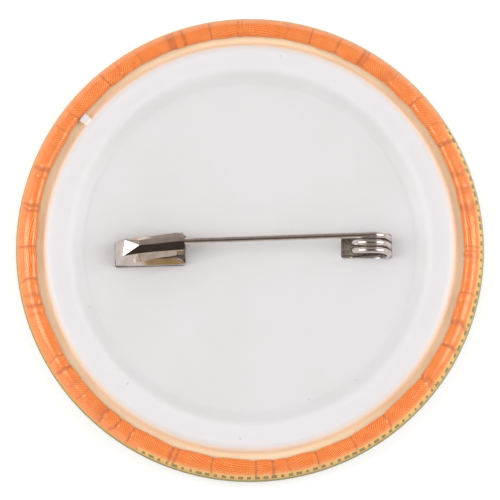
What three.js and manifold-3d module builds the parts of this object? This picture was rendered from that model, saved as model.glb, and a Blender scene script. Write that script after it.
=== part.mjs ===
// Button badge. A printed paper disc and a clear film are drawn over a domed steel shell and rolled in
// with its rim, and a plastic back plate that carries a safety pin snaps in behind the rim.
// Millimetres, +Z up. The front lies on Z = 0, the back faces +Z, and the pin runs along X.
// The origin is the middle of the front.
import * as THREE from "three";
import { mergeVertices } from "three/addons/utils/BufferGeometryUtils.js";
import Module from "manifold-3d";

const wasm = await Module();
wasm.setup();

// Front
const badgeRadius = 29;
const rimHeight = 5.9;
const faceDomeWidth = 10.7;
const faceDomeRadius = 60;
const faceEdgeRadius = 2.3;
const skirtLean = THREE.MathUtils.degToRad(33);
const beadRadius = 0.8;
const tuckLength = 0.3;

// Layers of the front, from the outside in
const filmThickness = 0.1;
const paperThickness = 0.12;
const steelThickness = 0.25;
const layerGap = 0.04;

// Back plate
const plateThickness = 1;
const rimGap = 1;
const shoulderRadius = 1.2;
const ridgeWidth = 1.6;
const ridgeSlope = 2.5;
const ridgeSink = 0.15;
const discSink = 1.05;
const flangeThickness = 0.9;
const footWidth = 0.8;
const snapClearance = 0.15;
const plateClearance = 0.35;
const gateAngle = THREE.MathUtils.degToRad(142);
const gateWidth = 1.1;
const gateClearance = 0.2;

// Pin wire
const wireRadius = 0.375;
const coilX = 14.9;
const coilRadius = 2.15;
const coilTurns = 2.5;
const coilRunOut = 0.25;
const coilGap = 0.03;
const needleRootY = 1.18;
const needleTipX = -14.6;
const needleTipY = 0.15;
const pointLength = 3.2;
const pointRadius = 0.06;
const armEndX = -14.9;
const wireJointGap = 0.05;
const coilSlotLead = 1;

// Pin cap: the closed side is at +Y and the mouth is at -Y
const sheetThickness = 0.3;
const capOpenEndX = -8;
const capLength = 8.6;
const capNeedleClearance = 0.5;
const capArmClearance = 0.36;
const capShoulder = 0.35;
const capShoulderDrop = 0.3;
const capCrestReach = 0.08;
const capCrestWidth = 0.95;
const capLipReach = 0.6;
const capLipDrop = 0.5;
const capRoofClearance = 0.2;
const capFlapHeight = 1.2;
const capFlapLean = 0.7;
const capCorner = 0.4;
const capNarrowing = 0.95;
const capFlare = 0.25;
const capHipDrop = 0.5;
const capMouthLength = 7.2;

// Clearances
const armClearance = 0.05;
const slotClearance = 0.15;
const clipClearance = 0.1;

// Snap clip that holds the fixed arm under the plate
const clipLength = 13;
const clipWall = 0.8;
const clipDepth = 1.3;
const clipLip = 0.25;

const roundSegments = 48;
const wireSegments = 12;

const frontDepth = filmThickness + paperThickness + steelThickness + 2 * layerGap;
const beadHeight = rimHeight - beadRadius;
const ridgeHeight = rimHeight - ridgeSink;
const discHeight = ridgeHeight - discSink;
const plateUnderside = discHeight - plateThickness;
const armHeight = plateUnderside - wireRadius - armClearance;
const coilHeight = armHeight + coilRadius;
const needleHeight = coilHeight + coilRadius;
const coilPitch = (2 * wireRadius + coilGap) / (1 - coilRunOut);
const armY = needleRootY - coilPitch * (coilTurns - coilRunOut);
const capFloor = armHeight - wireRadius - armClearance - sheetThickness;
const capTop = needleHeight + wireRadius + capRoofClearance + sheetThickness;
const capClosedEndX = capOpenEndX - capLength;
const needleSlope = (needleRootY - needleTipY) / (coilX - needleTipX);
const needleAtCapY = needleTipY + needleSlope * (capOpenEndX - needleTipX);
const capClosedSideY = needleAtCapY + wireRadius + capNeedleClearance + sheetThickness;
const capOpenSideY = armY - wireRadius - capArmClearance - sheetThickness;
const capCrestSideY = needleAtCapY - capCrestReach;
const capCrestLipY = capCrestSideY - capCrestWidth;
const capLipY = capCrestLipY - capLipReach;

const finishes = {
  steel: new THREE.MeshStandardMaterial({ color: 0xb9b2a6, roughness: 0.45, metalness: 1 }),
  print: new THREE.MeshStandardMaterial({ color: 0xf68c45, roughness: 0.7, metalness: 0 }),
  film: new THREE.MeshStandardMaterial({ color: 0xf08a48, roughness: 0.2, metalness: 0 }),
  plastic: new THREE.MeshStandardMaterial({ color: 0xe8e5e6, roughness: 0.4, metalness: 0 }),
  nickel: new THREE.MeshStandardMaterial({ color: 0xc9c6c3, roughness: 0.22, metalness: 1 }),
};

function point(x, y) {
  return new THREE.Vector2(x, y);
}

function arcPoints(x, y, radius, from, to, steps) {
  return Array.from({ length: steps + 1 }, (_, i) => {
    const angle = from + ((to - from) * i) / steps;
    return point(x + radius * Math.cos(angle), y + radius * Math.sin(angle));
  });
}

function turned(profile) {
  return new THREE.LatheGeometry(profile, roundSegments).rotateX(Math.PI / 2);
}

function solidOf(geometry) {
  const bare = geometry.clone().deleteAttribute("normal").deleteAttribute("uv");
  const merged = mergeVertices(bare, 1e-4);
  return new wasm.Manifold(
    new wasm.Mesh({
      numProp: 3,
      vertProperties: merged.attributes.position.array,
      triVerts: new Uint32Array(merged.index.array),
    }),
  );
}

function geometryOf(solid) {
  const { vertProperties, triVerts } = solid.getMesh();
  const geometry = new THREE.BufferGeometry();
  geometry.setAttribute("position", new THREE.BufferAttribute(vertProperties, 3));
  geometry.setIndex(new THREE.BufferAttribute(triVerts, 1));
  geometry.computeVertexNormals();
  return geometry;
}

function piece(name, geometry, finish) {
  const mesh = new THREE.Mesh(geometry, finish);
  mesh.name = name;
  return mesh;
}

// Where the rounded edge of the front meets its dome, and where the skirt above it meets the bead
const edgeX = badgeRadius - faceEdgeRadius;
const faceFlatRadius = edgeX - faceDomeWidth;
const domeLean = Math.asin(faceDomeWidth / (faceDomeRadius - faceEdgeRadius));
const edgeHeight = faceDomeRadius - (faceDomeRadius - faceEdgeRadius) * Math.cos(domeLean);
const skirtRise = (beadHeight - edgeHeight) * Math.sin(skirtLean);
const beadX = edgeX + (faceEdgeRadius - beadRadius - skirtRise) / Math.cos(skirtLean);
const lipRadius = beadX - beadRadius;

// Half section of the front at a depth below its outer surface, from the axis to inside the rolled rim
function frontLine(depth, tuck) {
  const down = -Math.PI / 2;
  const domeRadius = faceDomeRadius - depth;
  const edgeRadius = faceEdgeRadius - depth;
  const dome = arcPoints(faceFlatRadius, faceDomeRadius, domeRadius, down, down + domeLean, 2);
  const edge = arcPoints(edgeX, edgeHeight, edgeRadius, down + domeLean, 0, 3);
  const [, skirtStart] = arcPoints(edgeX, edgeHeight, edgeRadius, 0, skirtLean, 1);
  const outerBead = arcPoints(beadX, beadHeight, beadRadius - depth, skirtLean, -down, 2);
  const innerBead = arcPoints(beadX, beadHeight, beadRadius - depth, -down, Math.PI, 2);
  const end = tuck ? [point(lipRadius + depth, beadHeight - tuck)] : [];
  const rim = [...edge.slice(1), skirtStart, ...outerBead, ...innerBead.slice(1)];
  return [point(0, depth), ...dome, ...rim, ...end];
}

function frontLayer(depth, thickness, tuck) {
  const outside = frontLine(depth, tuck);
  const inside = frontLine(depth + thickness, tuck);
  return turned([...outside, ...inside.reverse()]);
}

// Height of the shell's inner surface at a radius, where the plate's foot stands on it
function shellInside(radius) {
  return edgeHeight - Math.sqrt((faceEdgeRadius - frontDepth) ** 2 - (radius - edgeX) ** 2);
}

// Radius of the skirt's inner surface at a height
function skirtInside(height) {
  const rise = (height - edgeHeight) * Math.sin(skirtLean);
  return edgeX + (faceEdgeRadius - frontDepth - rise) / Math.cos(skirtLean);
}

const wallRadius = lipRadius - rimGap;
const ridgeOuterRadius = wallRadius - shoulderRadius;
const ridgeInnerRadius = ridgeOuterRadius - ridgeWidth;
const discRadius = ridgeInnerRadius - ridgeSlope;

function plateBody() {
  const flangeTop = beadHeight - tuckLength - snapClearance;
  const flangeRadius = skirtInside(flangeTop) - plateClearance;
  const flangeBottom = flangeTop - flangeThickness;
  const footRadius = edgeX + footWidth / 2;
  const footBottom = shellInside(footRadius + footWidth / 2) + snapClearance;
  const slopeWidth = ridgeSlope / 2;
  const slope = (drop) =>
    new THREE.CubicBezierCurve(
      point(discRadius, discHeight - drop),
      point(discRadius + slopeWidth, discHeight - drop),
      point(ridgeInnerRadius - slopeWidth, ridgeHeight - drop),
      point(ridgeInnerRadius, ridgeHeight - drop),
    ).getPoints(5);
  const shoulder = (radius) =>
    arcPoints(ridgeOuterRadius, ridgeHeight - shoulderRadius, radius, Math.PI / 2, 0, 4);
  return turned([
    point(0, plateUnderside),
    ...slope(plateThickness),
    ...shoulder(shoulderRadius - plateThickness),
    point(wallRadius - plateThickness, flangeBottom),
    point(footRadius - footWidth / 2, flangeBottom),
    point(footRadius - footWidth / 2, footBottom),
    point(footRadius + footWidth / 2, footBottom),
    point(flangeRadius, flangeBottom),
    point(flangeRadius, flangeTop),
    point(wallRadius, flangeTop),
    ...shoulder(shoulderRadius).reverse(),
    ...slope(0).reverse(),
    point(0, discHeight),
  ]);
}

// Small block left where the plastic was let into the mould
function gateMark() {
  const inner = ridgeOuterRadius;
  const outer = lipRadius - gateClearance;
  const bottom = beadHeight - tuckLength - snapClearance - flangeThickness / 2;
  const top = ridgeHeight - snapClearance;
  const block = new THREE.BoxGeometry(outer - inner, gateWidth, top - bottom);
  block.translate((inner + outer) / 2, 0, (top + bottom) / 2);
  return block.rotateZ(gateAngle);
}

// One side of the snap clip: a wall beside the fixed arm with a lip that reaches under it
function clipSide(side) {
  const near = wireRadius + clipClearance;
  const far = near + clipWall;
  const lipTop = armHeight - wireRadius - armClearance;
  const section = new THREE.Shape([
    point(side * near, plateUnderside + plateThickness / 2),
    point(side * near, lipTop),
    point(side * (near - clipLip), lipTop),
    point(side * near, plateUnderside - clipDepth),
    point(side * far, plateUnderside - clipDepth),
    point(side * far, plateUnderside + plateThickness / 2),
  ]);
  const middle = (coilX + capOpenEndX) / 2;
  return alongX(section, middle - clipLength / 2, clipLength, 1).translate(0, armY, 0);
}

// Extrudes a section drawn in Y and Z from startX towards +X
function alongX(section, startX, length, steps) {
  const shape = new THREE.ExtrudeGeometry(section, { depth: length, steps, bevelEnabled: false });
  const turn = new THREE.Matrix4().makeBasis(
    new THREE.Vector3(0, 1, 0), new THREE.Vector3(0, 0, 1), new THREE.Vector3(1, 0, 0),
  );
  return shape.applyMatrix4(turn).translate(startX, 0, 0);
}

function slotCutter(corners) {
  const depth = 3 * plateThickness;
  const hole = new THREE.ExtrudeGeometry(new THREE.Shape(corners), { depth, bevelEnabled: false });
  return hole.translate(0, 0, plateUnderside - plateThickness);
}

function capSlot() {
  const closedEnd = capClosedEndX - slotClearance;
  const openEnd = capOpenEndX + slotClearance;
  return slotCutter([
    point(closedEnd, capOpenSideY - capFlare - slotClearance),
    point(openEnd, capOpenSideY - slotClearance),
    point(openEnd, capClosedSideY + slotClearance),
    point(closedEnd, capClosedSideY - capNarrowing + slotClearance),
  ]);
}

function coilSlot() {
  const reach = coilRadius + wireRadius + slotClearance;
  const corner = 2 * slotClearance;
  const low = armY - wireRadius - slotClearance;
  const high = needleRootY + wireRadius + slotClearance;
  const lead = coilX - reach - coilSlotLead;
  return slotCutter([
    point(lead, low),
    ...arcPoints(coilX + reach - corner, low + corner, corner, -Math.PI / 2, 0, 3),
    ...arcPoints(coilX + reach - corner, high - corner, corner, 0, Math.PI / 2, 3),
    point(lead, high),
  ]);
}

function backPlate() {
  let plate = solidOf(plateBody());
  for (const added of [gateMark(), clipSide(1), clipSide(-1)]) plate = plate.add(solidOf(added));
  for (const hole of [capSlot(), coilSlot()]) plate = plate.subtract(solidOf(hole));
  return geometryOf(plate);
}

// The coil starts at the top, where the needle leaves it, and ends at the bottom in the fixed arm.
// It stops moving along Y for its last quarter turn.
class CoilPath extends THREE.Curve {
  getPoint(t) {
    const turns = t * coilTurns;
    const angle = Math.PI / 2 - 2 * Math.PI * turns;
    const advance = coilPitch * Math.min(turns, coilTurns - coilRunOut);
    return new THREE.Vector3(
      coilX + coilRadius * Math.cos(angle),
      needleRootY - advance,
      coilHeight + coilRadius * Math.sin(angle),
    );
  }
}

function coil() {
  const section = new THREE.Shape(
    arcPoints(0, 0, wireRadius, 0, 2 * Math.PI, wireSegments).slice(1),
  );
  return new THREE.ExtrudeGeometry(section, { extrudePath: new CoilPath(), steps: 36 });
}

// A straight length of wire along +X from the origin, with its far end drawn down to a point
function wire(length, taper, endRadius) {
  const profile = [
    point(0, 0),
    point(wireRadius, 0),
    point(wireRadius, length - taper),
    point(endRadius, length),
    point(0, length),
  ];
  return new THREE.LatheGeometry(profile, wireSegments).rotateZ(-Math.PI / 2);
}

function needle() {
  const root = new THREE.Vector3(coilX - wireJointGap, needleRootY, needleHeight);
  const tip = new THREE.Vector3(needleTipX, needleTipY, needleHeight);
  const run = tip.clone().sub(root);
  const mesh = piece(
    "pin_needle", wire(run.length(), pointLength, pointRadius), finishes.nickel,
  );
  mesh.position.copy(root);
  mesh.quaternion.setFromUnitVectors(new THREE.Vector3(1, 0, 0), run.normalize());
  return mesh;
}

function fixedArm() {
  const root = coilX - wireJointGap;
  const mesh = piece(
    "pin_fixed_arm", wire(root - armEndX, wireRadius / 2, wireRadius / 2), finishes.nickel,
  );
  mesh.position.set(root, armY, armHeight);
  mesh.rotation.z = Math.PI;
  return mesh;
}

// Moves each edge of a closed outline inwards and meets them again
function inset(outline, distance) {
  return outline.map((corner, i) => {
    const before = outline[(i + outline.length - 1) % outline.length];
    const after = outline[(i + 1) % outline.length];
    const along = corner.clone().sub(before).normalize();
    const onward = after.clone().sub(corner).normalize();
    const normal = point(-along.y - onward.y, along.x + onward.x);
    return corner.clone().addScaledVector(
      normal, (2 * distance) / normal.lengthSq(),
    );
  });
}

// Narrows the cap towards its closed end and brings its roof down there as a hip
function drawIn(geometry) {
  const positions = geometry.attributes.position;
  const width = capClosedSideY - capOpenSideY;
  const bend = discHeight;
  for (let i = 0; i < positions.count; i++) {
    const share = Math.min(1, (capOpenEndX - positions.getX(i)) / capLength);
    const across = (positions.getY(i) - capOpenSideY) / width;
    const z = positions.getZ(i);
    const hip = 1 - capHipDrop * Math.max(0, 4 * share - 3);
    const shift = -capFlare * share + (capFlare - capNarrowing) * share * across;
    positions.setY(i, positions.getY(i) + shift);
    positions.setZ(i, z > bend ? bend + (z - bend) * hip : z);
  }
  return geometry;
}

function cap() {
  const lipTop = capTop - capLipDrop;
  const flapTop = discHeight + capFlapHeight;
  const outline = [
    point(capOpenSideY, capFloor + capCorner),
    point(capOpenSideY + capCorner, capFloor),
    point(capClosedSideY - capCorner, capFloor),
    point(capClosedSideY, capFloor + capCorner),
    point(capClosedSideY, capTop - 2 * capCorner - capShoulderDrop),
    point(capClosedSideY - capShoulder, capTop - capShoulderDrop),
    point(capCrestSideY, capTop),
    point(capCrestLipY, capTop),
    point(capLipY, lipTop),
    point(capOpenSideY + capFlapLean, flapTop),
    point(capOpenSideY, flapTop - capFlapLean),
  ];
  const inside = inset(outline, sheetThickness);
  const beyond = 2 * capOpenSideY;
  const lipSlope = capLipDrop / capLipReach;
  const underLip = lipTop - sheetThickness * Math.hypot(1, lipSlope);
  const mouth = [
    point(capLipY, lipTop + sheetThickness),
    point(beyond, lipTop + sheetThickness),
    point(beyond, flapTop),
    point(0, flapTop),
    point(0, underLip),
    point(capLipY, underLip),
  ];
  const outer = alongX(new THREE.Shape(outline), capClosedEndX, capLength, 4);
  const hollow = alongX(
    new THREE.Shape(inside), capClosedEndX + sheetThickness, capLength, 4,
  );
  const slit = alongX(
    new THREE.Shape(mouth), capOpenEndX - capMouthLength, capMouthLength + sheetThickness, 4,
  );
  const [body, room, gap] = [outer, hollow, slit].map((shape) => solidOf(drawIn(shape)));
  return geometryOf(body.subtract(room).subtract(gap));
}

const paperDepth = filmThickness + layerGap;
const steelDepth = paperDepth + paperThickness + layerGap;

const badge = new THREE.Group();
badge.add(
  piece("clear_film", frontLayer(0, filmThickness, tuckLength), finishes.film),
  piece("printed_disc", frontLayer(paperDepth, paperThickness, tuckLength), finishes.print),
  piece("front_shell", frontLayer(steelDepth, steelThickness, 0), finishes.steel),
  piece("back_plate", backPlate(), finishes.plastic),
);

const pin = new THREE.Group();
pin.add(
  piece("pin_cap", cap(), finishes.nickel),
  fixedArm(),
  piece("pin_coil", coil(), finishes.nickel),
  needle(),
);
badge.add(pin);

export default badge;
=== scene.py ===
import math

import bmesh
import bpy
import numpy as np
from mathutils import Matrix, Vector


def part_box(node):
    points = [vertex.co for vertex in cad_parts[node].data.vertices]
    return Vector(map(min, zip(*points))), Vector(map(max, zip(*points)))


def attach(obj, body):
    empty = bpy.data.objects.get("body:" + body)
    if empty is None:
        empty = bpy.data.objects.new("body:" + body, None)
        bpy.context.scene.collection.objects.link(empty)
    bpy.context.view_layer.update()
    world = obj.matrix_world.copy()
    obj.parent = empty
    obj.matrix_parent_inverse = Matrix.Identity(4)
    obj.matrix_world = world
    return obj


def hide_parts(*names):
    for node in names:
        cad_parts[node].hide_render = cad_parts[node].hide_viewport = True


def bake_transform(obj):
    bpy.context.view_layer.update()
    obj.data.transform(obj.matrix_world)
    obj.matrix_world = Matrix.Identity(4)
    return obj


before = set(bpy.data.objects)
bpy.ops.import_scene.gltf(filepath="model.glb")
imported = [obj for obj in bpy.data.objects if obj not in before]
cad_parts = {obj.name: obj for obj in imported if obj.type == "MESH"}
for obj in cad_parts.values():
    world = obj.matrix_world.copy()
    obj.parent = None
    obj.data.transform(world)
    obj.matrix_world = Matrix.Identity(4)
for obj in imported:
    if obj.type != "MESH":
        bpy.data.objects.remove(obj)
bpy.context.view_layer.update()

mm = 0.001

# Front shell. The badge's body: one disc of thin tinned steel sheet, stamped into a shallow dome and
# pressed at the rim into a skirt that leans in and ends in a rolled bead, which grips the paper and film.
# Seen from behind, it shows only through the slots of the back plate, as bare grey tinplate.
badge_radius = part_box("clear_film")[1].x
rim_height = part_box("clear_film")[1].z
dome_width = 10.7 * mm
dome_radius = 60 * mm
edge_radius = 2.3 * mm
bead_radius = 0.8 * mm
skirt_lean = math.radians(33)
film_thickness = 0.1 * mm
paper_thickness = 0.12 * mm
steel_thickness = 0.25 * mm
layer_gap = 0.04 * mm

edge_x = badge_radius - edge_radius
dome_lean = math.asin(dome_width / (dome_radius - edge_radius))
edge_height = dome_radius - (dome_radius - edge_radius) * math.cos(dome_lean)
bead_height = rim_height - bead_radius
skirt_rise = (bead_height - edge_height) * math.sin(skirt_lean)
bead_x = edge_x + (edge_radius - bead_radius - skirt_rise) / math.cos(skirt_lean)
lip_radius = bead_x - bead_radius
fine_turns = 360
outer_steps = 14
inner_steps = 8


def arc(x, y, radius, start, end, steps):
    """Points on an arc of a half section: distance from the axis, and height."""
    angles = np.linspace(start, end, steps + 1)
    return [(x + radius * math.cos(a), y + radius * math.sin(a)) for a in angles]


def straight(start, end, steps):
    """Points evenly spaced between two points of a half section, without either of them."""
    return [tuple(p) for p in np.linspace(start, end, steps + 1)[1:-1]]


def front_line(depth, tuck, steps):
    """Half section of the front, this far under its outer surface, from the axis to inside the rim."""
    down = -math.pi / 2
    bead = bead_radius - depth
    dome = arc(edge_x - dome_width, dome_radius, dome_radius - depth, down, down + dome_lean, steps // 2)
    edge = arc(edge_x, edge_height, edge_radius - depth, down + dome_lean, skirt_lean, steps)
    rolled = arc(bead_x, bead_height, bead, skirt_lean, math.pi, steps)
    tucked = [(lip_radius + depth, bead_height - tuck)] if tuck else []
    skirt = straight(edge[-1], rolled[0], steps // 2)
    return [(0, depth), *dome, *edge[1:], *skirt, *rolled, *tucked]


def turned(name, section, turns, marks=None):
    """A closed skin turned round the Z axis from a half section that starts and ends on the axis.
    Marks are named numbers for each point of the section, kept on the skin."""
    rings = np.array(section[1:-1])
    around = np.linspace(0, 2 * math.pi, turns, endpoint=False)
    x = np.outer(rings[:, 0], np.cos(around)).ravel()
    y = np.outer(rings[:, 0], np.sin(around)).ravel()
    z = np.repeat(rings[:, 1], turns)
    points = np.column_stack([x, y, z]).tolist()
    first = len(points)
    last = first + 1
    points += [(0, 0, section[0][1]), (0, 0, section[-1][1])]
    end = first - turns
    faces = []
    for i in range(turns):
        j = (i + 1) % turns
        faces.append((first, j, i))
        faces.append((last, end + i, end + j))
        for row in range(0, end, turns):
            faces.append((row + i, row + j, row + turns + j, row + turns + i))
    skin = bpy.data.meshes.new(name)
    skin.from_pydata(points, [], faces)
    for mark, values in (marks or {}).items():
        spread = [*np.repeat(values[1:-1], turns), values[0], values[-1]]
        skin.attributes.new(mark, "FLOAT", "POINT").data.foreach_set("value", spread)
    return skin


def face_out(skin):
    """Turns every face of a closed skin outwards."""
    shape = bmesh.new()
    shape.from_mesh(skin)
    bmesh.ops.recalc_face_normals(shape, faces=shape.faces)
    shape.to_mesh(skin)
    shape.free()
    return skin


def smooth(skin, sharp=40):
    """Shades a skin smoothly and keeps folds sharper than this many degrees crisp."""
    skin.shade_smooth()
    skin.set_sharp_from_angle(angle=math.radians(sharp))


def show(name, skin, finish, body, node):
    """Makes a finished piece of a skin, in its CAD node's place. It rides on its body, if one is named."""
    piece = bpy.data.objects.new(name, skin)
    bpy.context.scene.collection.objects.link(piece)
    skin.materials.clear()
    skin.materials.append(finish)
    if body:
        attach(piece, body)
    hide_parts(node)
    return piece


class Wire:
    """An output of a node. Sums and products of wires add their own Math nodes."""

    def __init__(self, wiring, socket):
        self.wiring = wiring
        self.socket = socket

    def __add__(self, other):
        return self.wiring.maths("ADD", self, other)

    def __sub__(self, other):
        return self.wiring.maths("SUBTRACT", self, other)

    def __mul__(self, other):
        return self.wiring.maths("MULTIPLY", self, other)

    def __truediv__(self, other):
        return self.wiring.maths("DIVIDE", self, other)

    def __rsub__(self, other):
        return self.wiring.maths("SUBTRACT", other, self)

    __radd__ = __add__
    __rmul__ = __mul__


class Wiring:
    """A node tree being wired up."""

    def __init__(self, tree):
        self.tree = tree

    def node(self, kind, settings=None, values=None, output=0):
        """Adds a node, with its settings made before its values are set or linked."""
        added = self.tree.nodes.new(kind)
        for name, setting in (settings or {}).items():
            setattr(added, name, setting)
        for name, value in (values or {}).items():
            if isinstance(value, Wire):
                self.tree.links.new(value.socket, added.inputs[name])
            else:
                added.inputs[name].default_value = value
        return Wire(self, added.outputs[output])

    def maths(self, operation, *values):
        return self.node("ShaderNodeMath", {"operation": operation}, dict(enumerate(values)))

    def parts(self, vector):
        """The three numbers of a vector."""
        split = self.node("ShaderNodeSeparateXYZ", None, {"Vector": vector})
        return [Wire(self, socket) for socket in split.socket.node.outputs]

    def vector(self, x, y, z):
        return self.node("ShaderNodeCombineXYZ", None, {"X": x, "Y": y, "Z": z})

    def stretch(self, vector, scale):
        """A vector with each of its numbers multiplied."""
        return self.node("ShaderNodeVectorMath", {"operation": "MULTIPLY"}, {0: vector, 1: scale})

    def ease(self, value, start, end, low=0, high=1):
        """Goes smoothly from low to high while value goes from start to end."""
        limits = {"From Min": start, "From Max": end, "To Min": low, "To Max": high}
        settings = {"interpolation_type": "SMOOTHSTEP"}
        return self.node("ShaderNodeMapRange", settings, {"Value": value, **limits})

    def noise(self, vector, scale, detail):
        values = {"Vector": vector, "Scale": scale, "Detail": detail}
        return self.node("ShaderNodeTexNoise", None, values)

    def blend(self, share, below, above):
        """Lays one colour over another."""
        return self.node("ShaderNodeMix", {"data_type": "RGBA"}, {0: share, 6: below, 7: above}, 2)


class Finish(Wiring):
    """A material whose patterns are laid out in millimetres. Fixed numbers go on the surface's sockets."""

    def __init__(self, name, **fixed):
        self.material = bpy.data.materials.new(name)
        self.material.use_nodes = True
        super().__init__(self.material.node_tree)
        self.surface = self.tree.nodes["Principled BSDF"]
        for socket, value in fixed.items():
            self.surface.inputs[socket.replace("_", " ")].default_value = value
        metres = self.node("ShaderNodeTexCoord", output=3)
        self.place = self.stretch(metres, (1000, 1000, 1000))
        self.x, self.y, self.z = self.parts(self.place)
        self.radius = self.maths("SQRT", self.x * self.x + self.y * self.y)

    def feed(self, **wires):
        """Links what varies over the surface."""
        for socket, wire in wires.items():
            self.tree.links.new(wire.socket, self.surface.inputs[socket.replace("_", " ")])

    def bump(self, height, depth):
        """A surface that stands out by this many millimetres where height is 1."""
        values = {"Strength": 1, "Distance": depth * mm, "Height": height}
        return self.node("ShaderNodeBump", None, values)


def colour(red, green, blue):
    """The linear numbers of a colour that is given as it shows on a screen, from 0 to 255."""
    shown = [part / 255 for part in (red, green, blue)]
    return (*[p / 12.92 if p < 0.04 else ((p + 0.055) / 1.055) ** 2.4 for p in shown], 1)


def tinplate():
    """Bare tinned sheet: grey with a warm tinge, matt, with rolling lines and dark flecks."""
    tin = Finish("tinplate", Metallic=1.0)
    rolled = tin.noise(tin.stretch(tin.place, (0.25, 4, 4)), 1.5, 4)
    flecks = tin.ease(tin.noise(tin.place, 5.5, 3), 0.36, 0.46)
    cloudy = tin.noise(tin.place, 0.6, 3)
    base = tin.blend(cloudy, colour(238, 228, 214), colour(248, 242, 234))
    marked = tin.blend(flecks, colour(150, 134, 110), base)
    tin.feed(
        Base_Color=marked,
        Roughness=0.2 + 0.25 * rolled,
        Normal=tin.bump(rolled, 0.01),
    )
    return tin.material


def front_layer(depth, thickness, tuck):
    """Half section of one layer of the front, and how far each point lies from the centre of the
    flat sheet it was cut from, in millimetres, and whether it is on the outer face."""
    outer = front_line(depth, tuck, outer_steps)
    inner = front_line(depth + thickness, tuck, inner_steps)

    def reach(line):
        return [0, *np.cumsum(np.hypot(*np.diff(np.array(line), axis=0).T)) / mm]

    marks = {
        "reach": [*reach(outer), *reach(inner)[::-1]],
        "outer_face": [1] * len(outer) + [0] * len(inner),
    }
    return [*outer, *inner[::-1]], marks


steel_depth = film_thickness + paper_thickness + 2 * layer_gap
shell_section, _ = front_layer(steel_depth, steel_thickness, 0)
shell_skin = face_out(turned("front_shell_sheet", shell_section, fine_turns))
smooth(shell_skin)
show("front_shell_sheet", shell_skin, tinplate(), "badge", "front_shell")

# Printed disc. Coated paper, printed flat with the artwork and its bleed, cut to a circle and drawn over
# the shell. There is more paper at the rim than room for it, so it puckers into more than forty small
# pleats, which the rolled bead presses flat.
tuck_length = 0.3 * mm
rim_turns = 1320
pleat_scale = 6.4
pleat_seed = 9.75
crease_depth = 0.07 * mm
crease_width = 0.045
lip_puff = 0.48 * mm
rim_puff = 0.07 * mm
crease_slant = 0.05
skirt_foot = bead_height - 0.9 * mm
skirt_top = bead_height - 0.1 * mm
lip_inside = 0.6 * mm
lip_outside = 0.3 * mm


class Recipe(Wiring):
    """A Geometry Nodes tree with named inputs for its sizes, and a finish for what it makes."""

    def __init__(self, name, sizes):
        tree = bpy.data.node_groups.new(name, "GeometryNodeTree")
        super().__init__(tree)
        add = tree.interface.new_socket
        add("Geometry", in_out="INPUT", socket_type="NodeSocketGeometry")
        for size in sizes:
            add(size, in_out="INPUT", socket_type="NodeSocketFloat")
        add("Finish", in_out="INPUT", socket_type="NodeSocketMaterial")
        add("Geometry", in_out="OUTPUT", socket_type="NodeSocketGeometry")
        self.given = tree.nodes.new("NodeGroupInput")

    def __getitem__(self, name):
        return Wire(self, self.given.outputs[name])

    def mark(self, name):
        """The numbers of a named mark on the skin."""
        return self.node("GeometryNodeInputNamedAttribute", {"data_type": "FLOAT"}, {"Name": name})

    def serve(self, geometry):
        """Ends the tree."""
        real = self.node("GeometryNodeRealizeInstances", None, {"Geometry": geometry})
        finished = self.node(
            "GeometryNodeSetMaterial", None, {"Geometry": real, "Material": self["Finish"]}
        )
        out = self.tree.nodes.new("NodeGroupOutput")
        self.tree.links.new(finished.socket, out.inputs[0])

    def make(self, name, finish, sizes, skin=None):
        """Runs the tree once and returns what it makes as a plain mesh."""
        blank = bpy.data.objects.new(name, skin or bpy.data.meshes.new(name))
        bpy.context.scene.collection.objects.link(blank)
        modifier = blank.modifiers.new(name, "NODES")
        modifier.node_group = self.tree
        for item in self.tree.interface.items_tree:
            if item.in_out == "INPUT" and item.name in sizes:
                modifier[item.identifier] = sizes[item.name]
            elif item.name == "Finish":
                modifier[item.identifier] = finish
        graph = bpy.context.evaluated_depsgraph_get()
        made = bpy.data.meshes.new_from_object(
            blank.evaluated_get(graph), preserve_all_data_layers=True, depsgraph=graph
        )
        blank.modifiers.remove(modifier)
        bpy.data.objects.remove(blank)
        made.name = name
        return made


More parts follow.
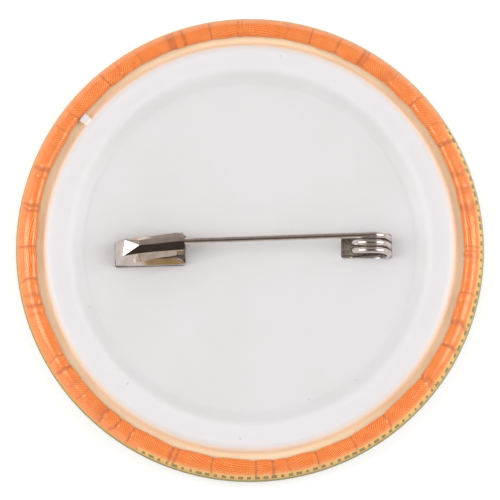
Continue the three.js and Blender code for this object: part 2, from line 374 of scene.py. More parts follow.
def pleats():
    """Puckers a turned sheet at its rim. Every pleat is a smooth bulge between two creases, which fall
    where a ring crosses the walls of a pattern of cells."""
    tree = Recipe(
        "pleats",
        ["Scale", "Seed", "Crease depth", "Crease width", "Lip puff", "Rim puff", "Slant",
         "Skirt foot", "Skirt top", "Lip start", "Lip end"],
    )
    position = tree.node("GeometryNodeInputPosition")
    x, y, z = tree.parts(position)
    flat = tree.vector(x, y, 0)
    radius = tree.node("ShaderNodeVectorMath", {"operation": "LENGTH"}, {0: flat}, 1)
    ring = tree.node("ShaderNodeVectorMath", {"operation": "NORMALIZE"}, {0: flat})
    lean = tree.noise(tree.stretch(ring, (9, 9, 9)), 1, 0) - 0.5
    climb = (z - tree["Skirt top"]) / (tree["Skirt top"] - tree["Skirt foot"])
    turned_ring = tree.node(
        "ShaderNodeVectorRotate",
        {"rotation_type": "Z_AXIS"},
        {"Vector": ring, "Angle": lean * climb * tree["Slant"]},
    )
    u, v, _ = tree.parts(turned_ring)
    cells = tree.vector(u * tree["Scale"], v * tree["Scale"], tree["Seed"])
    wall = tree.node(
        "ShaderNodeTexVoronoi", {"feature": "DISTANCE_TO_EDGE"}, {"Vector": cells, "Scale": 1}
    )
    cell = tree.node("ShaderNodeTexVoronoi", None, {"Vector": cells, "Scale": 1}, 1)
    own, _, _ = tree.parts(cell)
    firmness = tree.ease(tree.noise(cells, 1.7, 0), 0.35, 0.6, 0.35, 1)
    crease = (1 - tree.ease(wall, 0, tree["Crease width"])) * firmness
    bulge = tree.ease(wall, 0, 0.35)
    wave = tree.noise(cells, 0.75, 1)
    on_rim = tree.ease(z, tree["Skirt foot"], tree["Skirt top"])
    on_lip = 1 - tree.ease(radius, tree["Lip start"], tree["Lip end"])
    puff = tree["Rim puff"] * (0.4 * own + 0.6 * bulge)
    lip = tree["Lip puff"] * (0.55 * wave + 0.25 * own + 0.2 * bulge) * on_lip
    lift = (puff + lip + tree["Crease depth"] * (1 - crease)) * on_rim
    side = tree.mark("outer_face") * 2 - 1
    offset = tree.node(
        "ShaderNodeVectorMath",
        {"operation": "SCALE"},
        {0: tree.node("GeometryNodeInputNormal"), "Scale": lift * side},
    )
    # The crease mark is kept on the skin for the finishes: painted shade on the paper and duller gloss on the
    # film.
    marked = tree.node(
        "GeometryNodeStoreNamedAttribute",
        {"data_type": "FLOAT", "domain": "POINT"},
        {"Geometry": tree["Geometry"], "Name": "crease", "Value": crease * on_rim},
    )
    moved = tree.node("GeometryNodeSetPosition", None, {"Geometry": marked, "Offset": offset})
    tree.serve(moved)
    return tree


pleat_recipe = pleats()
pleat_sizes = {
    "Scale": pleat_scale,
    "Seed": pleat_seed,
    "Crease depth": crease_depth,
    "Crease width": crease_width,
    "Lip puff": lip_puff,
    "Rim puff": rim_puff,
    "Slant": crease_slant,
    "Skirt foot": skirt_foot,
    "Skirt top": skirt_top,
    "Lip start": bead_x - lip_inside,
    "Lip end": bead_x + lip_outside,
}


def reach_at(height):
    """How far from the middle of the flat paper the skirt's point at a height was, in millimetres."""
    section, marks = front_layer(paper_depth, paper_thickness, tuck_length)
    crest = max(range(len(section)), key=lambda i: section[i][1])
    heights = [z for _, z in section[: crest + 1]]
    return float(np.interp(height, heights, marks["reach"][: crest + 1]))


paper_depth = film_thickness + layer_gap
olive_reach = reach_at(bead_height - 1.2 * mm)
limb_reach = reach_at(bead_height - 0.75 * mm)
band_start = reach_at(bead_height - 1.1 * mm)
band_end = reach_at(bead_height - 0.15 * mm)
dash_start = math.radians(-120)
dash_end = math.radians(33)
dash_pitch = 1.05
screen_pitch = 0.31
sun_rays = 9
sun_radius = 13.8
sun_core = 8.3
line_radius = 24.0


def print_colours():
    """Ink on coated paper: an orange ground with a fine halftone screen, a dark olive border at the edge of
    the face and, over part of the skirt, a tan band with a row of plain dashes. The face has a sun. Painted
    shade darkens the paper along the creases of its pleats."""
    ink = Finish("printed_paper", Roughness=0.55, Specular_IOR_Level=0.3)
    reach = ink.node("ShaderNodeAttribute", {"attribute_name": "reach"}, output=2)
    outer = ink.node("ShaderNodeAttribute", {"attribute_name": "outer_face"}, output=2)
    crease = ink.node("ShaderNodeAttribute", {"attribute_name": "crease"}, output=2)
    angle = ink.maths("ARCTAN2", ink.y, ink.x)
    u = reach * ink.maths("COSINE", angle)
    v = reach * ink.maths("SINE", angle)
    dots = 2 * math.pi / (screen_pitch * math.sqrt(2))
    screen = ink.maths("SINE", (u + v) * dots) * ink.maths("SINE", (u - v) * dots)
    patches = ink.noise(ink.place, 0.9, 3)
    fine = ink.noise(ink.place, 7, 2)
    ground = ink.blend(ink.ease(patches, 0.35, 0.65), colour(248, 150, 72), colour(255, 168, 92))
    dotted = ink.blend(ink.ease(screen + (fine - 0.5), -0.9, 1.1), colour(220, 100, 34), ground)

    after_start = ink.ease(angle, dash_start, dash_start + 0.03)
    in_sector = after_start * (1 - ink.ease(angle, dash_end - 0.03, dash_end))
    tan_band = ink.ease(reach, band_end + 0.35, band_end - 0.1) * in_sector
    limb = ink.ease(reach, limb_reach + 0.25, limb_reach - 0.2)
    border = ink.ease(reach, olive_reach + 0.25, olive_reach - 0.15)
    banded = ink.blend(tan_band, dotted, colour(228, 176, 98))
    edged = ink.blend(limb * 0.75, banded, colour(196, 158, 84))
    olive = ink.blend(border, edged, colour(96, 98, 46))

    arc_length = angle * (badge_radius / mm)
    count = arc_length / dash_pitch
    step = ink.maths("FLOOR", count)
    chance = ink.node("ShaderNodeTexWhiteNoise", {"noise_dimensions": "1D"}, {"W": step})
    within = ink.maths("ABSOLUTE", count - step - 0.5)
    half_length = 0.12 + 0.26 * chance
    dash = 1 - ink.ease(within - half_length, -0.04, 0.04)
    middle = (band_start + band_end) / 2
    beside = ink.maths("ABSOLUTE", reach - middle)
    row = 1 - ink.ease(beside, 0.26, 0.38)
    dashed = ink.blend(dash * row * in_sector * 0.85, olive, colour(92, 84, 30))

    rays = ink.maths("COSINE", angle * sun_rays)
    sun = 1 - ink.ease(reach - rays * 2.2, sun_radius, sun_radius + 0.3)
    core = 1 - ink.ease(reach, sun_core, sun_core + 0.2)
    ring = ink.maths("ABSOLUTE", reach - line_radius)
    line = 1 - ink.ease(ring, 0.35, 0.45)
    face = ink.blend(sun, dashed, colour(252, 214, 96))
    faced = ink.blend(core, face, colour(244, 120, 46))
    lined = ink.blend(line, faced, colour(252, 238, 206))
    # Painted shade: the print is darkened along the creases of the pleats.
    crease_shaded = ink.blend(crease * 0.62, lined, colour(168, 70, 22))
    ink.feed(
        Base_Color=ink.blend(outer, colour(238, 236, 228), crease_shaded),
        Normal=ink.bump(fine, 0.006),
    )
    return ink.material


paper_finish = print_colours()
paper_section, paper_marks = front_layer(paper_depth, paper_thickness, tuck_length)
paper_flat = face_out(turned("printed_disc_sheet", paper_section, rim_turns, paper_marks))
paper_skin = pleat_recipe.make("printed_disc_sheet", paper_finish, pleat_sizes, paper_flat)
smooth(paper_skin, 60)
show("printed_disc_sheet", paper_skin, paper_finish, "badge", "printed_disc")

# Clear film. Thin clear polyester, cut to the same circle, laid over the paper and rolled in with it. It
# takes the paper's pleats, and gives the rim its bright line and the face its gloss.
film_gloss_roughness = 0.13
film_mirror = 0.035
film_grazing_mirror = 0.2
film_shine = (1, 0.84, 0.58, 1)


def clear_film():
    """Clear film: it shows what is under it and mirrors by its angle. Small ripples break its shine."""
    film = Finish("clear_film")
    ripples = film.noise(film.place, 1.6, 3)
    fine = film.noise(film.place, 6.5, 2)
    surface = film.bump(ripples * 0.7 + fine * 0.3, 0.03)
    crease = film.node("ShaderNodeAttribute", {"attribute_name": "crease"}, output=2)
    dulled = film_gloss_roughness + 0.1 * fine + 0.3 * crease
    gloss = {"Color": film_shine, "Roughness": dulled, "Normal": surface}
    shine = film.node("ShaderNodeBsdfGlossy", None, gloss)
    through = film.node("ShaderNodeBsdfTransparent")
    slant = film.node("ShaderNodeLayerWeight", None, {"Blend": 0.5, "Normal": surface}, 1)
    mirror = film_mirror + film_grazing_mirror * film.maths("POWER", slant, 5)
    both = film.node("ShaderNodeMixShader", None, {0: mirror, 1: through, 2: shine})
    film.tree.links.new(both.socket, film.tree.nodes["Material Output"].inputs["Surface"])
    film.tree.nodes.remove(film.surface)
    return film.material


film_finish = clear_film()
film_section, film_marks = front_layer(0, film_thickness, tuck_length)
film_flat = face_out(turned("clear_film_sheet", film_section, rim_turns, film_marks))
film_skin = pleat_recipe.make("clear_film_sheet", film_finish, pleat_sizes, film_flat)
smooth(film_skin, 60)
show("clear_film_sheet", film_skin, film_finish, "badge", "clear_film")

# Back plate. Moulded white plastic, a little translucent, with a raised ridge and a sunk middle. It snaps
# in behind the bead, stands on the shell by its foot, and has slots for the pin's cap and coil.
plate_thickness = 1.0 * mm
rim_gap = 1.0 * mm
shoulder_radius = 1.2 * mm
shoulder_fillet = 0.5 * mm
ridge_width = 1.6 * mm
ridge_slope = 2.5 * mm
ridge_sink = 0.15 * mm
disc_sink = 1.05 * mm
flange_thickness = 0.9 * mm
foot_width = 0.8 * mm
snap_clearance = 0.15 * mm
plate_clearance = 0.35 * mm
gate_angle = math.radians(142)
gate_width = 1.1 * mm
gate_clearance = 0.2 * mm
slot_clearance = 0.15 * mm
slot_lead = 1.0 * mm
slot_tuck = 0.2 * mm
slot_round = 0.05 * mm
clip_length = 13 * mm
clip_wall = 0.8 * mm
clip_depth = 1.3 * mm
clip_lip = 0.25 * mm
clip_clearance = 0.1 * mm
wire_radius = 0.375 * mm
cap_narrowing = 0.95 * mm
cap_flare = 0.25 * mm
cap_fit = 0.03 * mm
speck_places = [
    (-15.0, -17.0, 0.2), (13.0, -16.5, 0.16), (-1.2, -23.8, 0.17),
    (-19.7, -7.4, 0.14), (3.8, 23.8, 0.15), (7.2, -18.8, 0.12),
]

ridge_height = rim_height - ridge_sink
disc_height = ridge_height - disc_sink
plate_underside = disc_height - plate_thickness
wall_radius = lip_radius - rim_gap
ridge_outer = wall_radius - shoulder_radius
ridge_inner = ridge_outer - ridge_width
disc_radius = ridge_inner - ridge_slope
flange_top = bead_height - tuck_length - snap_clearance
flange_bottom = flange_top - flange_thickness
coil_low, coil_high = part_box("pin_coil")
coil_centre = (coil_low + coil_high) / 2
cap_low, cap_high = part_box("pin_cap")
arm_low, arm_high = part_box("pin_fixed_arm")
arm_y = (arm_low.y + arm_high.y) / 2


def plate_section():
    """Half section of the plate, from its underside at the axis round its edge to its middle on top."""
    steel_inside = edge_radius - steel_depth - steel_thickness
    rise = (flange_top - edge_height) * math.sin(skirt_lean)
    flange_radius = edge_x + (steel_inside - rise) / math.cos(skirt_lean) - plate_clearance
    foot_inner, foot_outer = edge_x, edge_x + foot_width
    foot_bottom = edge_height - math.sqrt(steel_inside**2 - foot_width**2) + snap_clearance

    def slope(drop):
        share = np.linspace(0, 1, 17)
        eased = share * share * (3 - 2 * share)
        radii = disc_radius + ridge_slope * share
        heights = disc_height + (ridge_height - disc_height) * eased - drop
        return list(zip(radii, heights))

    def shoulder(radius, end):
        return arc(ridge_outer, shoulder_height, radius, math.pi / 2, end, 12)

    shoulder_height = ridge_height - shoulder_radius
    fillet_height = flange_top + shoulder_fillet
    fillet_spoke = shoulder_radius + shoulder_fillet
    meet = math.asin((fillet_height - shoulder_height) / fillet_spoke)
    fillet_x = ridge_outer + fillet_spoke * math.cos(meet)
    fillet = arc(fillet_x, fillet_height, shoulder_fillet, math.pi * 1.5, math.pi + meet, 10)

    return [
        (0, plate_underside),
        *slope(plate_thickness),
        *shoulder(shoulder_radius - plate_thickness, 0),
        (wall_radius - plate_thickness, flange_bottom),
        (foot_inner, flange_bottom),
        (foot_inner, foot_bottom),
        (foot_outer, foot_bottom),
        (flange_radius, flange_bottom),
        (flange_radius, flange_top),
        *fillet,
        *shoulder(shoulder_radius, meet)[::-1][1:],
        *slope(0)[::-1],
        (0, disc_height),
    ]


def solid(name, loops):
    """A closed skin through several outlines that have the same number of points, with flat ends."""
    count = len(loops[0])
    points = [point for loop in loops for point in loop]
    faces = [tuple(range(count)), tuple(range(len(points) - count, len(points)))]
    for row in range(0, len(points) - count, count):
        for i in range(count):
            j = (i + 1) % count
            faces.append((row + i, row + j, row + count + j, row + count + i))
    skin = bpy.data.meshes.new(name)
    skin.from_pydata(points, [], faces)
    return face_out(skin)


def rounded_outline(corners, radius):
    """An outline in X and Y whose corners are rounded."""
    outline = []
    for i, corner in enumerate(corners):
        here = Vector(corner)
        back = (Vector(corners[i - 1]) - here).normalized()
        ahead = (Vector(corners[(i + 1) % len(corners)]) - here).normalized()
        inward = (back + ahead).normalized()
        centre = here + inward * (radius / math.sin(back.angle(ahead) / 2))
        start = here + back * radius - centre
        end = here + ahead * radius - centre
        for share in np.linspace(0, 1, 7):
            outline.append(centre + start.slerp(end, share).normalized() * radius)
    return outline


def slot_cutter(name, low, high, taper, corner):
    """Cuts a slot through the plate, with a rounded edge on top. Taper shifts its sides at the low end."""
    left_side = [(low[0], high[1] - taper[1]), (low[0], low[1] - taper[0])]
    right_side = [(high[0], low[1]), (high[0], high[1])]
    outline = rounded_outline([left_side[1], *right_side, left_side[0]], corner)
    middle = sum(outline, Vector((0, 0))) / len(outline)

    def loop(wider, z):
        return [
            (
                point.x + math.copysign(wider, point.x - middle.x),
                point.y + math.copysign(wider, point.y - middle.y),
                z,
            )
            for point in outline
        ]

    edge = [(0, 0), (0.13, 0.5), (0.5, 0.87), (1, 1)]
    round_loops = [
        loop(slot_round * wide, disc_height - slot_round * (1 - up)) for wide, up in edge
    ]
    through = loop(0, plate_underside - plate_thickness)
    above = loop(slot_round, disc_height + plate_thickness)
    return solid(name, [through, *round_loops, above])


def gate_mark():
    """The stub left where the plastic was let into the mould, cut off by hand."""
    inner = ridge_outer
    outer = lip_radius - gate_clearance
    bottom = flange_top - flange_thickness / 2
    top = ridge_height - snap_clearance
    along = Vector((math.cos(gate_angle), math.sin(gate_angle), 0))
    across = Vector((-along.y, along.x, 0)) * gate_width / 2
    loops = []
    for height, narrow in ((bottom, 0), (top - 0.1 * mm, 0), (top, 0.1 * mm)):
        corners = [(inner, -1), (outer - narrow, -1), (outer - narrow * 1.5, 1), (inner, 1)]
        shrink = 1 - 2 * narrow / gate_width
        loops.append([along * r + across * side * shrink + Vector((0, 0, height)) for r, side in corners])
    return solid("gate_mark", loops)


def snap_clip(side):
    """One side of the clip under the plate that holds the fixed arm: a wall with a lip that reaches under."""
    near = wire_radius + clip_clearance
    far = near + clip_wall
    lip_top = arm_low.z - clip_clearance / 2
    middle = (cap_high.x + coil_centre.x) / 2
    section = [
        (near, plate_underside + plate_thickness / 2),
        (near, lip_top),
        (near - clip_lip, lip_top),
        (near, plate_underside - clip_depth),
        (far, plate_underside - clip_depth),
        (far, plate_underside + plate_thickness / 2),
    ]
    ends = [middle - clip_length / 2, middle + clip_length / 2]
    return solid("snap_clip", [[(x, arm_y + side * y, z) for y, z in section] for x in ends])


def carved(name, skin, added, removed):
    """A skin with other skins joined to it and cut out of it."""
    base = bpy.data.objects.new(name, skin)
    bpy.context.scene.collection.objects.link(base)
    helpers = []
    for operation, tools in (("UNION", added), ("DIFFERENCE", removed)):
        for tool in tools:
            helper = bpy.data.objects.new(tool.name, tool)
            bpy.context.scene.collection.objects.link(helper)
            helpers.append(helper)
            cut = base.modifiers.new(tool.name, "BOOLEAN")
            cut.operation = operation
            cut.solver = "EXACT"
            cut.object = helper
    graph = bpy.context.evaluated_depsgraph_get()
    made = bpy.data.meshes.new_from_object(base.evaluated_get(graph), depsgraph=graph)
    for used in [base, *helpers]:
        bpy.data.objects.remove(used)
    made.name = name
    return made


def white_plastic():
    """Moulded white plastic: semi-gloss, faintly cloudy, with hair scratches and a few specks. Its colour
    also
    holds painted light: a painted highlight on the ridge and, at its edge but not on the gate's stub, painted
    warm light off the orange paper and painted shade in the gap under the bead."""
    outer, wall = ridge_outer / mm, wall_radius / mm
    top, middle = ridge_height / mm, disc_height / mm
    plastic = Finish(
        "white_plastic",
        Specular_IOR_Level=0.42,
        Subsurface_Weight=0.6,
        Subsurface_Scale=1.4 * mm,
        Subsurface_Radius=(1.0, 0.94, 0.88),
    )
    cloud = plastic.noise(plastic.place, 0.09, 3)
    grain = plastic.noise(plastic.place, 2.4, 4)
    white = plastic.blend(plastic.ease(cloud, 0.3, 0.7), colour(212, 211, 212), colour(215, 214, 216))
    # Painted highlight: the top of the ridge is painted a little lighter than the sunk middle.
    raising = plastic.ease(plastic.z, top - 0.55, top - 0.05)
    ridge = raising * (1 - plastic.ease(plastic.radius, outer, outer + 0.6))
    ridge_highlighted = plastic.blend(ridge, white, colour(218, 217, 219))
    # Painted light at the edge, from the ridge out past the wall: warm light off the orange paper is painted
    # as a tan tint, and painted shade makes it deeper lower in the gap under the bead. The gate's stub is
    # left out.
    stub = plastic.ease(plastic.radius, wall - 0.2, wall) * plastic.ease(plastic.z, top - 0.3, top - 0.2)
    edge = plastic.ease(plastic.radius, outer + 0.2, wall + 0.5) * (1 - stub)
    low = plastic.ease(plastic.z, top - 0.15, middle)
    edge_bounce_lit = plastic.blend(edge, ridge_highlighted, colour(252, 236, 208))
    gap_shaded = plastic.blend(edge * low * 0.7, edge_bounce_lit, colour(248, 226, 190))

    specks = 0
    flat = plastic.vector(plastic.x, plastic.y, 0)
    for x, y, size in speck_places:
        distance = {"operation": "DISTANCE"}
        away = plastic.node("ShaderNodeVectorMath", distance, {0: flat, 1: (x, y, 0)}, 1)
        specks = 1 - plastic.ease(away, size * 0.4, size) + specks
    speckled = plastic.blend(specks * 0.35, gap_shaded, colour(150, 146, 140))

    strands = {"Vector": plastic.stretch(plastic.place, (0.5, 0.13, 0.5)), "Scale": 1}
    hair = plastic.node("ShaderNodeTexVoronoi", {"feature": "DISTANCE_TO_EDGE"}, strands)
    rare = plastic.ease(plastic.noise(plastic.place, 0.22, 1), 0.56, 0.66)
    scratches = (1 - plastic.ease(hair, 0.0, 0.012)) * rare
    plastic.feed(
        Base_Color=speckled,
        Roughness=0.3 + 0.12 * grain + 0.2 * scratches,
        Normal=plastic.bump(grain * 0.5 - scratches, 0.008),
    )
    return plastic.material


coil_slot = slot_cutter(
    "coil_slot",
    (coil_low.x - slot_clearance - slot_lead, coil_low.y + slot_tuck),
    (coil_high.x, coil_high.y + slot_clearance),
    (0, 0),
    0.3 * mm,
)
cap_slot = slot_cutter(
    "cap_slot",
    (cap_low.x, cap_low.y + cap_flare - cap_fit),
    (cap_high.x + cap_fit, cap_high.y + cap_fit),
    (cap_flare, cap_narrowing),
    0.25 * mm,
)
plate_skin = carved(
    "back_plate_moulding",
    face_out(turned("back_plate_moulding", plate_section(), fine_turns)),
    [gate_mark(), snap_clip(1), snap_clip(-1)],
    [coil_slot, cap_slot],
)
smooth(plate_skin, 35)
show("back_plate_moulding", plate_skin, white_plastic(), "badge", "back_plate")

# Fixed arm. The lower end of the pin: straight spring wire that lies under the plate, clipped in place,
# from the coil to the cap.
wire_sides = 40
wire_end_rounding = 0.05 * mm


def straight_wire(name, start, end, taper, tip_radius):
    """A straight length of round wire with its far end drawn to a point and its near end rounded."""
    start, end = Vector(start), Vector(end)
    length = (end - start).length
    rounding = wire_end_rounding
    section = [
        (0, 0),
        *arc(wire_radius - rounding, rounding, rounding, -math.pi / 2, 0, 4),
        *straight((wire_radius, rounding), (wire_radius, length - taper), 12),
    ]
    for share in np.linspace(0, 1, 14):
        drawn = wire_radius + (tip_radius - wire_radius) * share**1.25
        section.append((drawn, length - taper * (1 - share) - tip_radius * share))
    section += arc(0, length - tip_radius, tip_radius, 0, math.pi / 2, 5)[1:-1]
    section.append((0, length))
    skin = face_out(turned(name, section, wire_sides))
    turn = Vector((0, 0, 1)).rotation_difference(end - start).to_matrix().to_4x4()
    turn.translation = start
    skin.transform(turn)
    return skin


def nickel(name, tint, along, roughness, wobble):
    """Bright nickel plating over steel, with faint lines along the way it was drawn, and light tarnish."""
    plating = Finish(name, Metallic=1.0)
    lines = plating.noise(plating.stretch(plating.place, along), 1, 3)
    tarnish = plating.noise(plating.place, 0.8, 4)
    waves = plating.noise(plating.place, 0.55, 1)
    base = plating.blend(plating.ease(tarnish, 0.4, 0.75), colour(*tint), colour(204, 192, 178))
    plating.feed(
        Base_Color=base,
        Roughness=roughness + 0.1 * lines * tarnish,
        Normal=plating.bump(waves + 0.04 * lines, wobble),
    )
    return plating.material


wire_nickel = nickel("pin_wire", (222, 216, 214), (0.35, 7, 7), 0.13, 0.015)
arm_height = (arm_low.z + arm_high.z) / 2
arm_skin = straight_wire(
    "fixed_arm_wire",
    (arm_high.x, arm_y, arm_height),
    (arm_low.x, arm_y, arm_height),
    wire_radius / 2,
    wire_radius / 2,
)
smooth(arm_skin)
show("fixed_arm_wire", arm_skin, wire_nickel, "badge", "pin_fixed_arm")

# Cap. Nickel-plated steel sheet, folded over a forming tool into a hood with a slit along its open side.
# The needle's point springs in through the slit. Its floor is clinched round the fixed arm.
sheet_thickness = 0.24 * mm
fold_rounding = 0.16 * mm
edge_rounding = 0.05 * mm

# Where the sheet is folded. Each line runs from the open end to the closed end, and each point gives how
# far it lies back from the open end, in from the closed side, and up from the floor, in millimetres.
fold_lines = {
    "slit_top": [(0.1, 2.58, 5.35), (0.4, 2.8, 5.23), (1.1, 2.97, 5.13), (3.6, 3.34, 5.02),
                 (5.4, 3.74, 4.85), (7.1, 3.84, 3.9), (8.45, 3.7, 3.2)],
    "crest_low": [(0, 2.3, 5.55), (0.3, 2.32, 5.55), (1.1, 2.36, 5.55), (3.6, 2.56, 5.55),
                  (5.6, 2.8, 5.5), (7.6, 3.06, 5.15), (8.58, 3.0, 3.8)],
    "crest_high": [(0, 1.26, 5.9), (0.3, 1.29, 5.9), (1.1, 1.36, 5.9), (3.6, 1.64, 5.9),
                   (5.55, 1.8, 5.9), (7.4, 1.0, 5.1), (8.5, 1.3, 3.8)],
    "bend": [(0.04, 0.75, 5.85), (0.33, 0.7, 5.83), (1.15, 0.68, 5.8), (3.6, 0.96, 5.77),
             (5.6, 1.2, 5.7), (7.4, 0.9, 5.0), (8.5, 1.15, 3.7)],
    "shoulder": [(0.08, 0.4, 5.62), (0.36, 0.24, 5.55), (1.2, 0.22, 5.5), (3.6, 0.52, 5.42),
                 (5.6, 0.78, 5.3), (7.4, 0.82, 4.7), (8.5, 1.05, 3.5)],
    "side_top": [(0.25, 0.1, 5.1), (0.6, 0.03, 4.95), (1.3, 0.06, 4.9), (3.6, 0.34, 4.85),
                 (5.6, 0.58, 4.7), (7.5, 0.78, 3.95), (8.58, 1.0, 2.9)],
    "side_foot": [(0.1, 0.03, 0), (0.6, 0.05, 0), (1.5, 0.17, 0), (3.6, 0.4, 0),
                  (5.45, 0.6, 0), (7.5, 0.83, 0), (8.6, 0.98, 0)],
    "floor_edge": [(0, 3.75, 0), (0.4, 3.76, 0), (1.1, 3.78, 0), (3.6, 3.85, 0),
                   (5.3, 3.9, 0), (7.1, 3.95, 0), (8.58, 3.94, 0)],
    "flap_fold": [(0, 3.75, 2.65), (0.4, 3.76, 2.65), (1.1, 3.78, 2.65), (3.6, 3.85, 2.65),
                  (5.3, 3.9, 2.65), (7.1, 3.95, 2.65), (8.56, 3.92, 2.4)],
    "slit_foot": [(0.16, 3.58, 2.82), (0.36, 3.32, 3.08), (1.1, 3.06, 3.35), (3.6, 3.1, 3.35),
                  (5.3, 3.32, 3.42), (7.1, 3.82, 3.8), (8.45, 3.7, 3.2)],
}


def folded_cap():
    """The cap's outer skin, folded along its lines and closed behind. Wall and rounded folds come after."""
    lines = list(fold_lines.values())
    stations = len(lines[0])
    points = [
        (cap_high.x - back * mm, cap_high.y - inward * mm, cap_low.z + up * mm)
        for line in lines
        for back, inward, up in line
    ]
    faces = []
    for row in range(0, len(points) - stations, stations):
        for i in range(stations - 1):
            quad = (row + i, row + i + 1, row + stations + i + 1, row + stations + i)
            on_hip = i == stations - 3
            faces += [(*quad[:2], quad[3]), quad[1:]] if on_hip else [quad]
    faces.append(tuple(range(stations - 1, len(points), stations)))
    skin = bpy.data.meshes.new("cap_folded")
    skin.from_pydata(points, [], faces)
    shape = bmesh.new()
    shape.from_mesh(skin)
    bmesh.ops.remove_doubles(shape, verts=shape.verts, dist=0.01 * mm)
    bmesh.ops.recalc_face_normals(shape, faces=shape.faces)
    top = max(shape.faces, key=lambda face: face.calc_center_median().z)
    if top.normal.z < 0:
        bmesh.ops.reverse_faces(shape, faces=shape.faces)
    shape.to_mesh(skin)
    shape.free()
    return skin


def with_modifiers(name, skin, modifiers):
    """A skin after a list of modifiers, each given as its kind and its settings."""
    blank = bpy.data.objects.new(name, skin)
    bpy.context.scene.collection.objects.link(blank)
    for kind, settings in modifiers:
        modifier = blank.modifiers.new(kind, kind)
        for setting, value in settings.items():
            setattr(modifier, setting, value)
    graph = bpy.context.evaluated_depsgraph_get()
    made = bpy.data.meshes.new_from_object(blank.evaluated_get(graph), depsgraph=graph)
    bpy.data.objects.remove(blank)
    made.name = name
    return made


cap_cage = folded_cap()
cap_cage.shade_smooth()
cap_skin = with_modifiers(
    "cap_folded",
    cap_cage,
    [
        ("BEVEL", {"width": fold_rounding, "segments": 3, "limit_method": "ANGLE",
                   "angle_limit": math.radians(12)}),
        ("SOLIDIFY", {"thickness": sheet_thickness, "offset": -1, "use_even_offset": True}),
        ("BEVEL", {"width": edge_rounding, "segments": 2, "limit_method": "ANGLE",
                   "angle_limit": math.radians(60)}),
        ("WEIGHTED_NORMAL", {"keep_sharp": False, "weight": 100}),
    ],
)
cap_nickel = nickel("cap_sheet", (222, 214, 209), (0.5, 6, 6), 0.11, 0.025)
show("cap_folded", cap_skin, cap_nickel, "badge", "pin_cap")

# Coil. The middle of the pin's wire, wound two and a half turns on a mandrel. It is the pin's spring, and
# it stands half sunk in its slot. It runs from the needle at the top down to the fixed arm.
coil_turns = 2.5
coil_steps = 260


def winding():
    """Winds round wire on a ring. It advances on the way up and down, and runs level over the top and
    under the bottom of every turn."""
    tree = Recipe(
        "winding",
        ["Turns", "Pitch", "Coil radius", "Wire radius", "Start side", "Centre X", "Centre Z"],
    )
    line = tree.node("GeometryNodeCurvePrimitiveLine")
    fine = tree.node("GeometryNodeResampleCurve", None, {"Curve": line, "Count": coil_steps})
    turn = tree.node("GeometryNodeSplineParameter") * tree["Turns"]
    angle = math.pi / 2 - turn * (2 * math.pi)
    level = tree.maths("SINE", angle * 2) / (4 * math.pi)
    advance = tree["Pitch"] * (turn - level)
    route = tree.vector(
        tree["Centre X"] + tree["Coil radius"] * tree.maths("COSINE", angle),
        tree["Start side"] - advance,
        tree["Centre Z"] + tree["Coil radius"] * tree.maths("SINE", angle),
    )
    wound = tree.node("GeometryNodeSetPosition", None, {"Geometry": fine, "Position": route})
    ring = {"Resolution": wire_sides, "Radius": tree["Wire radius"]}
    section = tree.node("GeometryNodeCurvePrimitiveCircle", None, ring)
    drawn = {"Curve": wound, "Profile Curve": section, "Fill Caps": True}
    tube = tree.node("GeometryNodeCurveToMesh", None, drawn)
    tree.serve(tube)
    return tree


needle_y = coil_high.y - wire_radius
coil_skin = winding().make(
    "coil_wire",
    wire_nickel,
    {
        "Turns": coil_turns,
        "Pitch": (needle_y - arm_y) / coil_turns,
        "Coil radius": (coil_high.z - coil_low.z) / 2 - wire_radius,
        "Wire radius": wire_radius,
        "Start side": needle_y,
        "Centre X": coil_centre.x,
        "Centre Z": coil_centre.z,
    },
)
smooth(face_out(coil_skin), 50)
coil = show("coil_wire", coil_skin, wire_nickel, None, "pin_coil")
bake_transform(coil)

# Needle. The upper arm of the pin, which goes through the cloth: straight wire from the top of the coil,
# ground to a point that rests inside the cap.
point_length = 3.2 * mm
point_radius = 0.06 * mm
needle_tip_y = 0.15 * mm
coil_overlap = 0.12 * mm
needle_low, needle_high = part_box("pin_needle")
needle_z = (needle_low.z + needle_high.z) / 2
needle_skin = straight_wire(
    "needle_wire",
    (coil_centre.x + coil_overlap, needle_y, needle_z),
    (needle_low.x, needle_tip_y, needle_z),
    point_length,
    point_radius,
)
smooth(needle_skin)
show("needle_wire", needle_skin, wire_nickel, "needle", "pin_needle")

# Studio. A plain white floor just under the badge, a soft lamp on each side and a plain room, as for a
# catalogue. The camera looks down on the back, leaning a little towards the near edge.
floor_reach = 3.0
floor_gap = 0.02 * mm
lamp_tilt = math.radians(52)
lamp_distance = 0.5
lamp_width = 0.3
lamp_height = 0.34
lamp_power = 1.15
room_strength = 0.9
camera_elevation = math.radians(81.5)
camera_distance = 0.7
view_width = 61.71 * mm
view_centre = Vector((0, -0.08 * mm, 3.2 * mm))

corners = [(-1, -1), (1, -1), (1, 1), (-1, 1)]
floor_points = [(x * floor_reach, y * floor_reach, -floor_gap) for x, y in corners]
floor_skin = bpy.data.meshes.new("floor")
floor_skin.from_pydata(floor_points, [], [(0, 1, 2, 3)])
floor = bpy.data.objects.new("floor", floor_skin)
bpy.context.scene.collection.objects.link(floor)
floor_paint = Finish(
    "floor", Base_Color=(0.6, 0.6, 0.6, 1), Roughness=0.9, Specular_IOR_Level=0.0,
    Emission_Color=(1, 1, 1, 1), Emission_Strength=0.5,
)
floor_skin.materials.append(floor_paint.material)


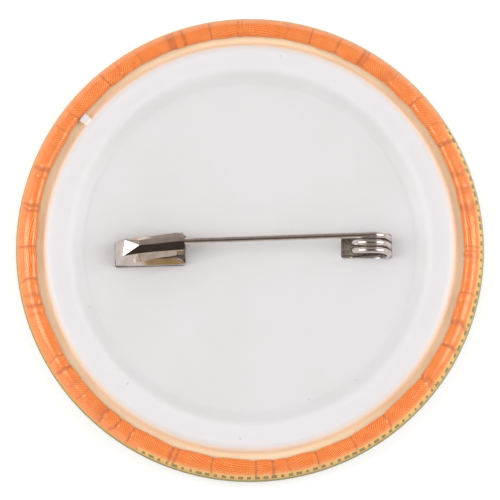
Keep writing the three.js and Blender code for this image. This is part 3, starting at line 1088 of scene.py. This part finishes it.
def aimed(name, data, target, towards, distance):
    """Puts a lamp or a camera this far from its target, and turns it to face the target."""
    holder = bpy.data.objects.new(name, data)
    holder.location = target + towards * distance
    holder.rotation_mode = "QUATERNION"
    holder.rotation_quaternion = towards.to_track_quat("Z", "Y")
    bpy.context.scene.collection.objects.link(holder)
    return holder


for side in (-1, 1):
    lamp = bpy.data.lights.new(f"soft_light_{side}", "AREA")
    lamp.shape = "RECTANGLE"
    lamp.size = lamp_width
    lamp.size_y = lamp_height
    lamp.energy = lamp_power
    towards_lamp = Vector((math.sin(side * lamp_tilt), 0, math.cos(lamp_tilt)))
    aimed(lamp.name, lamp, Vector((0, 0, 0)), towards_lamp, lamp_distance)

room = bpy.data.worlds.new("room")
room.use_nodes = True
bpy.context.scene.world = room


def paint_room():
    """The room's even light, and what metal and film mirror of it: a dim ceiling that is lighter at the
    back, pale side walls and, at the front, a pale panel above a warm floor."""
    air = Wiring(room.node_tree)
    direction = air.node("ShaderNodeTexCoord")
    east, north, up = air.parts(direction)
    ceiling = air.blend(air.ease(north, -0.6, 0.9), colour(62, 54, 50), colour(176, 164, 158))
    front = air.ease(north, -0.5, -0.75)
    panel = front * air.ease(up, 0.38, 0.44) * air.ease(up, 0.68, 0.62)
    panelled = air.blend(panel, ceiling, colour(214, 202, 190))
    floored = air.blend(front * air.ease(up, 0.4, 0.3), panelled, colour(176, 148, 108))
    beside = air.ease(air.maths("ABSOLUTE", east), 0.3, 0.6)
    walled = air.blend(beside, floored, colour(214, 204, 196))
    mirrored = air.node("ShaderNodeLightPath", output=3)
    return air.blend(mirrored, colour(238, 234, 232), walled)


backdrop = room.node_tree.nodes["Background"]
room.node_tree.links.new(paint_room().socket, backdrop.inputs["Color"])
backdrop.inputs["Strength"].default_value = room_strength

camera_data = bpy.data.cameras.new("camera")
camera_data.lens = camera_data.sensor_width * camera_distance / view_width
camera_data.clip_start = 0.01
camera_data.clip_end = 20
towards_camera = Vector((0, -math.cos(camera_elevation), math.sin(camera_elevation)))
camera = aimed("camera", camera_data, view_centre, towards_camera, camera_distance)
bpy.context.scene.camera = camera
bpy.context.scene.view_settings.view_transform = "Standard"
